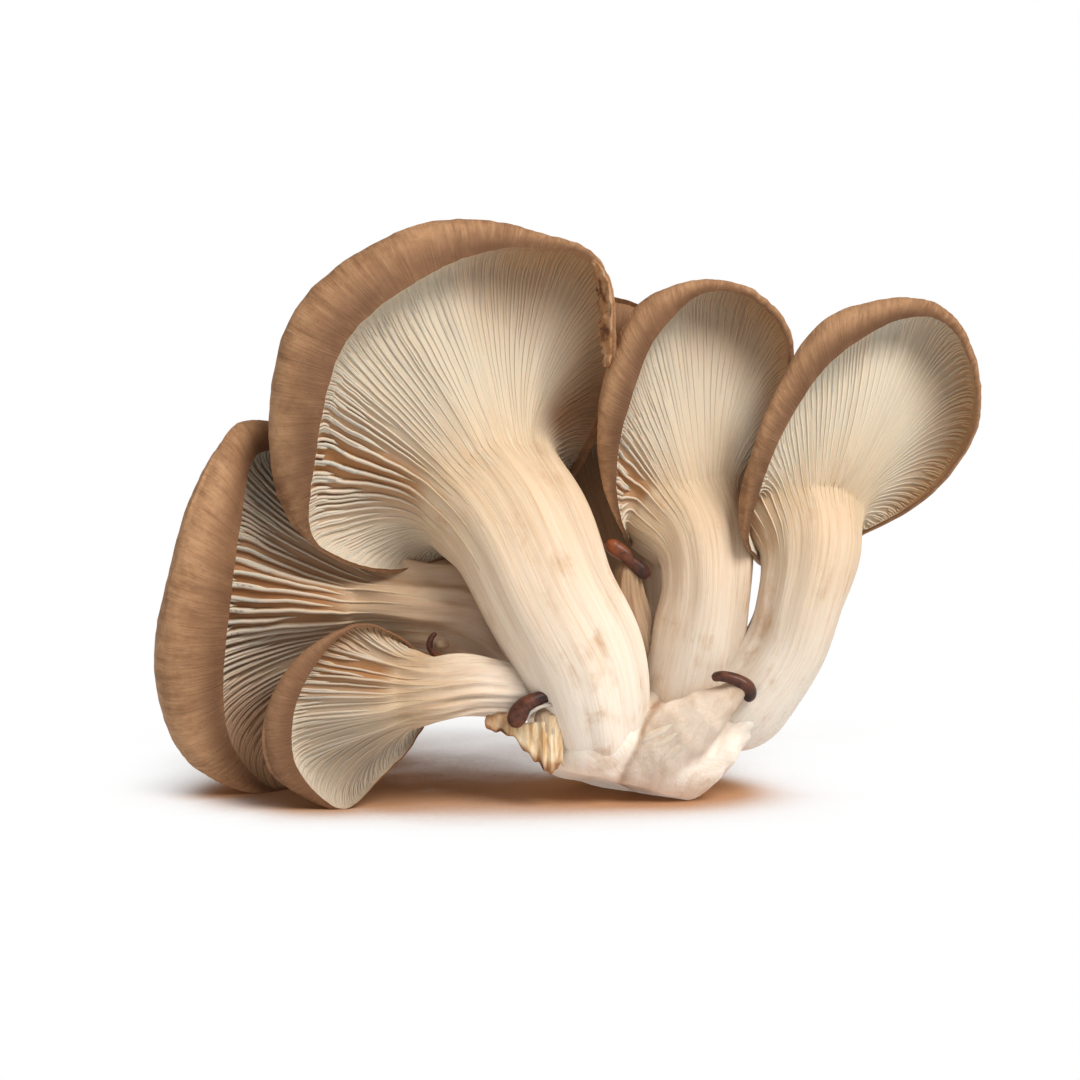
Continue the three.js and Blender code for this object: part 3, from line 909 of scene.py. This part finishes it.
middleMushroom = {
    "stem": [
        [24, 7, 11.5, 8.5], [24.5, 3, 21, 9.2], [26.5, 0, 32, 9.3],
        [28, -1.5, 42, 9], [27.5, 1, 50, 10], [24.5, 7, 55, 12.5],
    ],
    "edge": [
        [11.5, -3, 54.5, 1], [9.5, -4, 66, 3.5], [13, -4, 81, 6], [18, -1, 92.5, 6.5],
        [27, 3, 100.5, 2.5], [37.5, 4, 99, 1.5], [44, 2, 90, 1.5], [41.5, 5, 73, 2],
        [36, 12, 58, 2], [25, 19, 51, 2], [15.5, 9, 49.5, 1.5],
    ],
    "crown": [27, 24, 79],
    "columns": 240, "seed": 23, "gillTanAndShade": 0.14,
    "longGills": 40, "gillSections": 26, "gillHeight": 0.55,
    "pleats": {"near": [10, -4, 65], "width": 9, "coarser": 0.35, "deeper": 2.6},
    "brownedShadedSide": [1, 0, 0.6],
}
makeMushroom("middle_mushroom", middleMushroom)

rightMushroom = {
    "stem": [
        [30, 3, 10, 8.5], [37, -1, 19.5, 8.8], [44, -3, 30.5, 8.6],
        [47, -4, 41, 8.9], [48.5, -2, 49, 10.5], [47.5, 3, 54.5, 12.8],
    ],
    "edge": [
        [36, -9, 51, 1], [38, -11, 64, 3], [43.5, -11, 77, 5], [52.5, -9, 88.5, 6.5],
        [64.5, -5, 95.5, 4], [74, -3, 95, 1.8], [80, -4, 85, 1.2], [79, -3, 72, 1.2],
        [71.5, 1, 60.5, 1.2], [60, 7, 52.5, 1.2], [46, 15, 46, 1.5],
    ],
    "crown": [60, 18, 77],
    "columns": 240, "seed": 37, "longGills": 44, "gillSections": 26, "gillHeight": 0.55,
    "pleats": {"near": [36, -9, 54], "width": 9, "coarser": 0.2, "deeper": 2},
    "brownedShadedSide": [1, 0, -0.1], "flare": 0.5,
}
makeMushroom("right_mushroom", rightMushroom)

leftMushroom = {
    "stem": [
        [0, 9, 14, 8], [-11, 8.5, 27, 9.5], [-20, 6, 35.3, 10.2],
        [-29.5, 5, 37, 10], [-37, 9, 37, 12],
    ],
    "edge": [
        [-41, 27, 56, 5], [-31, 34, 30, 5], [-38, 22, 8, 4], [-55.5, 5, 0.3, 1],
        [-64.5, -3, 6, 5], [-68, -7, 18, 9.5], [-67, -8, 36, 11], [-64.5, -5, 55, 9],
        [-60, 4, 69, 6],
    ],
    "crown": [-62, 25, 36],
    "columns": 260, "seed": 41, "longGills": 50, "gillSections": 30, "gillHeight": 1.05,
    "pleats": {"near": [-66, -6, 42], "width": 20, "coarser": 0.4, "deeper": 1.7},
    "brownedShadedSide": [0, 0, -1], "paintedShadeSpots": [{"near": [-62, 0, 5], "width": 14, "share": 0.8}],
    "folds": 0.08, "tanAndShade": 0.4, "gillTanAndShade": 0.22, "cords": 0.4,
}
makeMushroom("left_mushroom", leftMushroom)

frontMushroom = {
    "stem": [
        [-2.5, -4, 20, 5], [-10.5, -10, 23, 5.2], [-18.5, -14, 24.5, 5.3],
        [-25, -15, 24, 6], [-30.5, -12.5, 23.5, 8],
    ],
    "edge": [
        [-26, -3, 24, 1], [-30.5, -10, 12.5, 0.5], [-36.5, -13, 6.5, 0.5],
        [-44.5, -15, 0.4, 0.4], [-52.5, -18, 8.5, 3.5], [-53.5, -19, 19.5, 4.5],
        [-49, -18, 29.5, 3], [-43.5, -15, 35, 0.8], [-36.5, -12, 35, 0.4],
    ],
    "crown": [-45, -5, 20],
    "columns": 200, "seed": 53, "longGills": 32, "gillSections": 24, "gillHeight": 0.6,
    "pleats": {"near": [-49, -18, 29], "width": 9, "coarser": 0.2, "deeper": 1.6},
    "brownedShadedSide": [0.2, 0, 1], "paintedShadeSpots": [{"near": [-40, -14, 3], "width": 9, "share": 0.35}],
    "tanAndShade": 0.2, "skinDarkening": 0.6, "cords": 0.45,
}
makeMushroom("front_mushroom", frontMushroom)

backMushroom = {
    "stem": [
        [14, 16, 12, 7.5], [14, 20, 28, 8.3], [13, 21.5, 42, 8.3],
        [11, 23.5, 52, 8.3], [9, 28, 59, 9.5],
    ],
    "edge": [
        [-9, 26, 56, 2], [-14, 28, 71, 3], [-9, 29, 83, 5], [4, 28, 88.5, 8],
        [16, 29, 85.5, 8], [24, 32, 76, 6], [24, 32, 64, 3], [12, 38, 53, 2], [0, 34, 50, 2],
    ],
    "crown": [8, 45, 77],
    "columns": 200, "seed": 67, "longGills": 40, "gillSections": 22, "gillHeight": 1.1,
    "pleats": {"near": [-9, 28, 60], "width": 14, "coarser": 0.2, "deeper": 1.4},
    "brownedShadedSide": [0, 0, 1], "tanAndShade": 0.5, "skinDarkening": 0.4,
}
makeMushroom("back_mushroom", backMushroom)


# Buds: a ribbed stem with a dark cap that hasn't opened, a short roll of skin. For each part:
# its material, columns and rows, and the height and length of its ribs.

budParts = {
    "stem": (fleshMaterial, 64, 60, 0.05, 0.16),
    "cap": (budMaterial, 40, 48, 0.1, 0.8),
    "rim": (fleshMaterial, 12, 60, 0.3, 0.3),
}


def tubeObject(name, line, part, seed, ribHeight, zones, warm):
    # a tube round a smooth line of [x, y, z, radius], with a dome at each end
    material, columns, rows, usualHeight, ribLength = part
    t = np.linspace(0, 1, rows)
    spots = smoothLine(line, False, t)
    middle, radius = spots[:, :3], spots[:, 3]
    tangent = unit(np.gradient(middle, axis=0))
    side = unit(np.cross(tangent, [0.15, 1.0, 0.1]))
    other = np.cross(tangent, side)
    run = np.concatenate([[0], np.linalg.norm(np.diff(middle, axis=0), axis=1).cumsum()])
    left = np.minimum(run, run[-1] - run)
    ends = np.sqrt(1 - (1 - np.minimum(1, left / radius)) ** 2)
    ring = circle(np.arange(columns) / columns * fullTurn)
    flow = np.repeat(ring[None], rows, 0)
    flow[..., 2] = t[:, None]
    ribs = waves(flow * [1, 1, 0.4], ribLength, seed)
    wide = radius[:, None] * ends[:, None] * (1 + (ribHeight or usualHeight) * ribs)
    rings = middle[:, None] + wide[..., None] * (ring[:, :1] * side[:, None]
                                                 + ring[:, 1:2] * other[:, None])
    points, faces = closedNet(rings)
    thing = newObject(name, toFrame(points), faces, (material,))
    keep(thing, "flow", np.vstack([flow[1:-1].reshape(-1, 3), flow[0, 0], flow[-1, 0]]))
    for label, (low, high) in (("zone", zones), ("brownedAndShaded", warm)):
        value = low + (high - low) * t
        keep(thing, label, np.concatenate([np.repeat(value[1:-1], columns), value[[0, -1]]]))
    turnOut(thing)
    return thing


def makeBud(node, shape):
    zones = {"stem": shape["zones"], "cap": (0.3, 0.8), "rim": (0.0, 0.0)}
    parts = []
    for k, (name, part) in enumerate(budParts.items()):
        if name in shape:
            ribHeight = shape.get("ribs") if name == "stem" else None
            warm = shape["warm"] if name == "cap" else (0.0, 0.0)
            parts.append(tubeObject(f"{node}_{name}", shape[name], part, shape["seed"] + k,
                                    ribHeight, zones[name], warm))
    bud = joinedAs(f"{node}_body", parts)
    keepEverywhere(bud, "tanAndShade", shape["tanAndShade"])
    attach(bud, "root")
    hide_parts(node)
    print(f"{node}: {len(bud.data.polygons)} faces")


centreBud = {
    "stem": [[15.5, 6, 25, 3.4], [14, 1.5, 33, 3.6], [12.4, -0.6, 41, 2.9], [12.2, -1.4, 47.6, 2.1]],
    "cap": [
        [7.8, -1.6, 51.3, 1.1], [9.2, -2.6, 50.3, 1.7], [11.2, -3, 49, 1.6], [13, -2.9, 47.4, 1.4],
        [14.8, -2.5, 45.8, 1.6], [16.3, -1.6, 44.4, 1.4],
    ],
    "warm": [0.9, -0.4], "ribs": 0.09, "seed": 81, "tanAndShade": 0.5, "zones": (0.5, 1.0),
}
makeBud("centre_bud", centreBud)

rightBud = {
    "stem": [
        [15.5, -5, 8.5, 7.2], [21, -8.3, 13, 6.3], [27, -10.3, 17.8, 4.4], [32, -11.2, 22.2, 2.6],
        [34, -11.6, 24, 2],
    ],
    "cap": [
        [28.4, -12, 25.8, 0.9], [30.4, -12.9, 26.2, 1.1], [33, -13.2, 25.6, 1.25],
        [35.3, -12.9, 24.2, 1.4], [36, -12.5, 22.4, 1.2], [34.9, -12.6, 21.3, 0.8],
    ],
    "warm": [0.2, 0.0], "seed": 85, "tanAndShade": 0.1, "zones": (0.25, 0.85),
}
makeBud("right_bud", rightBud)

frontBud = {
    "stem": [[-1.5, -9, 10.5, 3.2], [-3, -13, 14.5, 3], [-4.2, -15.2, 18.5, 2.4],
             [-4.6, -15.8, 20.6, 1.8]],
    "cap": [
        [-10.2, -16, 16.6, 1.2], [-9.8, -16.6, 18.8, 2], [-8, -17, 21, 2.1], [-5, -16.9, 22.7, 1.3],
        [-2.6, -16.4, 22.5, 1], [-1, -15.6, 21.4, 0.8],
    ],
    "rim": [
        [-8, -18.2, 18.4, 0.2], [-7.2, -18.7, 20, 0.3], [-5.6, -18.6, 21, 0.35],
        [-3.8, -18, 21.4, 0.3], [-2, -17.2, 20.9, 0.25], [-1.2, -16.4, 20, 0.2],
    ],
    "warm": [0.25, 0.0], "seed": 89, "tanAndShade": 0.3, "zones": (0.3, 0.9),
}
makeBud("front_bud", frontBud)

leftBud = {
    "stem": [[-23.5, 1, 31.5, 1.1], [-24.9, -4.6, 31.2, 1], [-25.9, -7, 31.6, 0.8]],
    "cap": [
        [-26, -7.2, 34, 0.4], [-27, -7.6, 32.8, 0.6], [-27.2, -7.8, 31.2, 0.65],
        [-26.2, -7.8, 29.8, 0.6], [-24.6, -7.4, 29, 0.45],
    ],
    "warm": [0.0, 0.3], "seed": 93, "tanAndShade": 0.35, "zones": (0.5, 1.0),
}
makeBud("left_bud", leftBud)


# The torn strip: a curtain of dried flesh with pleats across it and a ragged, burnt edge below

def weld(thing):
    # joins points that lie on each other
    net = bmesh.new()
    net.from_mesh(thing.data)
    bmesh.ops.remove_doubles(net, verts=net.verts, dist=1e-7)
    net.to_mesh(thing.data)
    net.free()


def makeStrip():
    shape = {
        "top": [[-15.6, -13.6, 20.8], [-12, -14.4, 19.4], [-8.8, -15.6, 17.6], [-5.6, -17, 18],
                [-3.2, -17.2, 19.4], [-1, -16.2, 19]],
        "bottom": [[-16.2, -13.4, 16.4], [-12.8, -14.8, 14.8], [-8.6, -15.8, 12.2],
                   [-5.4, -16, 9], [-2.8, -15.6, 7.6], [-0.8, -14.6, 9]],
        "columns": 150, "rows": 40, "thick": 0.9, "pleat": 0.8, "ragged": 0.9, "grain": 0.12,
        "leftEnd": 0.5, "seed": 97,
    }
    seed = shape["seed"]
    s = np.linspace(0, 1, shape["columns"])
    t = np.linspace(0, 1, shape["rows"])[:, None]
    top, bottom = [smoothLine(shape[key], False, s) for key in ("top", "bottom")]
    sheet = top * (1 - t[..., None]) + bottom * t[..., None]
    line = s[:, None] * [1, 0, 0]
    tear = 0.8 * waves(line, 0.2, seed) + 0.4 * waves(line, 0.06, seed + 1)
    pleats = waves(line, 0.2, seed + 2) + 0.4 * waves(line, 0.06, seed + 4)
    sheet[..., 2] += t**3 * shape["ragged"] * tear
    sheet[..., 0] += shape["leftEnd"] * (1 - s) ** 8 * waves(sheet, 1.6, 5)
    sheet[..., 1] += shape["pleat"] * (pleats * (0.4 + 0.6 * t))
    edge = np.minimum(np.minimum(t, 1 - t) * 9, np.minimum(s, 1 - s) * 14)
    half = shape["thick"] / 2 * np.clip(edge, 0, 1) ** 0.5
    grain = waves(sheet * [1, 1, 0.25], 0.7, 7)
    front, back = sheet.copy(), sheet.copy()
    front[..., 1] -= half + shape["grain"] * grain * (half > 0)
    back[..., 1] += half
    faces = netFaces(*half.shape, False)
    faces = np.vstack([faces, faces[:, ::-1] + half.size])
    points = np.vstack([front.reshape(-1, 3), back.reshape(-1, 3)])
    strip = newObject("torn_strip_body", toFrame(points), faces, (driedMaterial,))
    brownedAndShaded = smoothStep(0.7, 1.0, t) + 1.2 * smoothStep(0.3, 0.06, s)
    brownedAndShaded = np.clip(brownedAndShaded * (0.9 + 0.4 * waves(line, 0.09, seed + 3)), 0, 1)
    keep(strip, "brownedAndShaded", np.tile(brownedAndShaded.ravel(), 2))
    weld(strip)
    turnOut(strip)
    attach(strip, "root")
    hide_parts("torn_strip")
    print(f"torn_strip: {len(strip.data.polygons)} faces")


makeStrip()


# The base: one lump of flesh that all the stems run into, cut along its lower left and torn at
# its right. It is the skin of a field of distances to lumps and to the stems' feet.

def blend(first, second, reach):
    # the nearer of two distances, with a fillet where they meet
    share = np.maximum(reach - np.abs(first - second), 0) / reach
    return np.minimum(first, second) - share**2 * reach / 4


def toEllipsoid(place, middle, half):
    near = np.linalg.norm((place - middle) / half, axis=-1)
    steep = np.linalg.norm((place - middle) / np.square(half), axis=-1)
    return near * (near - 1) / np.maximum(steep, 1e-6)


def toTube(place, line, samples=7):
    spots = smoothLine(line, False, np.linspace(0, 1, samples))
    nearest = np.full(place.shape[:-1], 1e3)
    for a, b in zip(spots[:-1], spots[1:]):
        along = b[:3] - a[:3]
        t = np.clip((place - a[:3]) @ along / (along @ along), 0, 1)
        away = place - a[:3] - t[..., None] * along
        nearest = np.minimum(nearest, np.linalg.norm(away, axis=-1) - a[3] - t * (b[3] - a[3]))
    return nearest


def makeBase():
    shape = {
        "lumps": [
            ([14, 6, 10], [17, 13, 10.4]), ([29, 3, 9.6], [10.5, 11, 10.4]),
            ([22.5, -3, 7], [12, 9, 7.8]), ([16, 14, 9], [13, 14, 10.4]),
        ],
        # each foot that the base wraps, the height at which it slips under the stem's own
        # surface, and the fillet between them
        "feet": [
            (largeMushroom["stem"][:3], 15, 1.5), (leftMushroom["stem"][:2], 18, 5),
            (middleMushroom["stem"][:3], 20, 5), (backMushroom["stem"][:2], 18, 5),
            (rightMushroom["stem"][:3], 20, 5), (rightBud["stem"], 30, 1.2),
        ],
        "lumpFillet": 4.0, "cutFillet": 3.0, "wrap": 0.35, "slip": 2.4,
        "fibres": (0.08, 0.04), "strands": 0.32, "shreds": 0.18, "swell": 0.25,
        "root": [17, 3, -7], "step": 0.5, "low": [-8, -18, -1], "high": [44, 32, 31],
    }
    low, step = np.array(shape["low"], float), shape["step"]
    counts = ((np.array(shape["high"]) - low) / step).astype(int)
    place = low + step * np.stack(np.meshgrid(*map(np.arange, counts), indexing="ij"), -1)
    x, y, z = place[..., 0], place[..., 1], place[..., 2]
    field = np.full(x.shape, 1e3)
    for middle, half in shape["lumps"]:
        lump = toEllipsoid(place, np.array(middle), np.array(half))
        field = blend(field, lump, shape["lumpFillet"])
    uneven = z + 1.2 * waves(place, 4, 3)
    for stem, top, fillet in shape["feet"]:
        sunk = -shape["wrap"] + shape["slip"] * smoothStep(top - 6, top + 6, uneven)
        field = blend(field, toTube(place, stem) + sunk, fillet)
    leftCut = (0.25 * (24.6 - x) - 0.35 * (y + 9) + 0.6 - z) / 1.09
    rightCut = 0.79 * (x - 30) - 0.61 * (z - 3.5)
    field = np.maximum(field, leftCut)
    field = -blend(-field, -rightCut, shape["cutFillet"])
    field = np.maximum(field, netShape["clearOfFloor"] - z)
    points, faces = surfaceOf(field, low, step)

    slopes = np.stack(np.gradient(field, step), -1)
    cells = np.clip(np.rint((points - low) / step).astype(int), 0, counts - 1)
    outward = unit(slopes[tuple(cells.T)])
    ways = unit(points - shape["root"])
    torn = smoothStep(27, 34, points[:, 0]) * smoothStep(12, 4, points[:, 1])
    torn = torn * smoothStep(19, 14, points[:, 2])
    fibres = shape["fibres"][0] * waves(ways, 0.1, 31) + shape["fibres"][1] * waves(ways, 0.04, 32)
    strands = shape["strands"] * waves(ways, 0.07, 33)
    shreds = shape["shreds"] * waves(points * [0.7, 1, 0.7], 1.4, 34)
    bump = shape["swell"] * waves(points, 6, 35) + fibres + torn * (strands + shreds)
    points = points + outward * (bump * smoothStep(0.0, 1.5, points[:, 2]))[:, None]
    # the wedge under the right bud has a tan of its own, and the crease along the large foot is
    # darkened with painted shade
    toWedge = toTube(points, rightBud["stem"])
    wedge = smoothStep(1.5, -0.6, toWedge)
    creaseShade = np.exp(-((toTube(points, largeMushroom["stem"][:3]) - toWedge) / 0.9) ** 2)
    creaseShade = creaseShade * smoothStep(4, 1.5, toWedge)
    base = newObject("base_body", toFrame(points), faces, (fleshMaterial,))
    keep(base, "flow", np.stack([ways[:, 0] * 1.3, ways[:, 2] * 1.3 + ways[:, 1],
                                 np.linalg.norm(points - shape["root"], axis=-1) / 50], -1))
    keep(base, "zone", np.clip(points[:, 2] / 70, 0, 0.4) * (1 - torn) + 0.25 * wedge)
    keep(base, "tanAndShade", 0.04 + 0.4 * wedge + 0.45 * creaseShade)
    turnOut(base)
    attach(base, "root")
    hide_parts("base")
    print(f"base: {len(base.data.polygons)} faces")


makeBase()


# Stage, camera and light

def makeStage():
    look = {
        "half": 3.0, "paper": (0.92, 0.92, 0.92, 1), "warm": (0.44, 0.24, 0.13, 1),
        "reach": 0.04, "farReach": 0.16, "farShade": 1.3, "roughness": 0.9,
    }
    h = look["half"]
    floor = newObject("floor", [[-h, -h, 0], [h, -h, 0], [h, h, 0], [-h, h, 0]], [[0, 1, 2, 3]])
    material, tree, place = startMaterial("floorPaper")
    # only close under the mushrooms does the floor take their shade, warmed by light that has
    # passed through the flesh; further away it is as white as the paper behind
    near, far = [
        put(tree, "ShaderNodeAmbientOcclusion", {"Distance": reach}, samples=16).outputs["AO"]
        for reach in (look["reach"], look["farReach"])
    ]
    # behind them the shade reaches further, because the light comes from the front
    depth = put(tree, "ShaderNodeSeparateXYZ", {0: place}).outputs["Y"]
    behind = spread(tree, depth, 0.0, 0.06, 0.0, look["farShade"])
    near = sums(tree, "SUBTRACT", near, times(tree, sums(tree, "SUBTRACT", 1.0, far), behind))
    paper = blended(tree, spread(tree, near, 0.45, 0.97), look["warm"], look["paper"])
    shader = tree.nodes["Principled BSDF"]
    tree.links.new(paper, shader.inputs["Base Color"])
    shader.inputs["Roughness"].default_value = look["roughness"]
    shader.inputs["Specular IOR Level"].default_value = 0.0
    lit = put(tree, "ShaderNodeEmission", {"Color": (1, 1, 1, 1), "Strength": 1.0})
    mixed = put(tree, "ShaderNodeMixShader", {
        0: spread(tree, near, 0.4, 0.85), 1: shader.outputs[0], 2: lit.outputs[0],
    })
    tree.links.new(mixed.outputs[0], tree.nodes["Material Output"].inputs["Surface"])
    floor.data.materials.append(material)


def makeCamera():
    look = {"aim": (-5.4, 0.0, 51.6), "distance": 540.0, "elevation": 7.0, "lens": 90.0}
    rise = math.radians(look["elevation"])
    back = Vector((0, -math.cos(rise), math.sin(rise)))
    camera = bpy.data.objects.new("camera", bpy.data.cameras.new("camera"))
    camera.data.lens = look["lens"]
    camera.data.clip_start = 0.01
    camera.rotation_mode = "QUATERNION"
    camera.location = Vector(toFrame(look["aim"])) + back * look["distance"] * mm
    camera.rotation_quaternion = (-back).to_track_quat("-Z", "Y")
    bpy.context.collection.objects.link(camera)
    bpy.context.scene.camera = camera


def makeSun():
    # towards is the way from the mushrooms to the light
    look = {
        "towards": (0.5, -0.55, 0.8), "power": 3.4, "softness": 30, "tint": (1.0, 0.985, 0.96),
    }
    data = bpy.data.lights.new("key", "SUN")
    data.energy = look["power"]
    data.angle = math.radians(look["softness"])
    data.color = look["tint"]
    light = bpy.data.objects.new("key", data)
    light.rotation_mode = "QUATERNION"
    light.rotation_quaternion = Vector(look["towards"]).to_track_quat("Z", "Y")
    bpy.context.collection.objects.link(light)


def makeWorld():
    # white behind everything, with a softer light of its own on the mushrooms
    look = {"seen": (1, 1, 1, 1), "given": (1, 0.99, 0.97, 1), "givenPower": 0.45}
    world = bpy.data.worlds.new("studio")
    world.use_nodes = True
    tree = world.node_tree
    tree.nodes.clear()
    seen = put(tree, "ShaderNodeBackground", {"Color": look["seen"], "Strength": 1.0})
    given = put(tree, "ShaderNodeBackground", {
        "Color": look["given"], "Strength": look["givenPower"],
    })
    ray = put(tree, "ShaderNodeLightPath")
    mixed = put(tree, "ShaderNodeMixShader", {
        0: ray.outputs["Is Camera Ray"], 1: given.outputs[0], 2: seen.outputs[0],
    })
    put(tree, "ShaderNodeOutputWorld", {"Surface": mixed.outputs[0]})
    bpy.context.scene.world = world


makeStage()
makeCamera()
makeSun()
makeWorld()
bpy.context.scene.view_settings.view_transform = "Standard"
print("stage, camera and light ready")
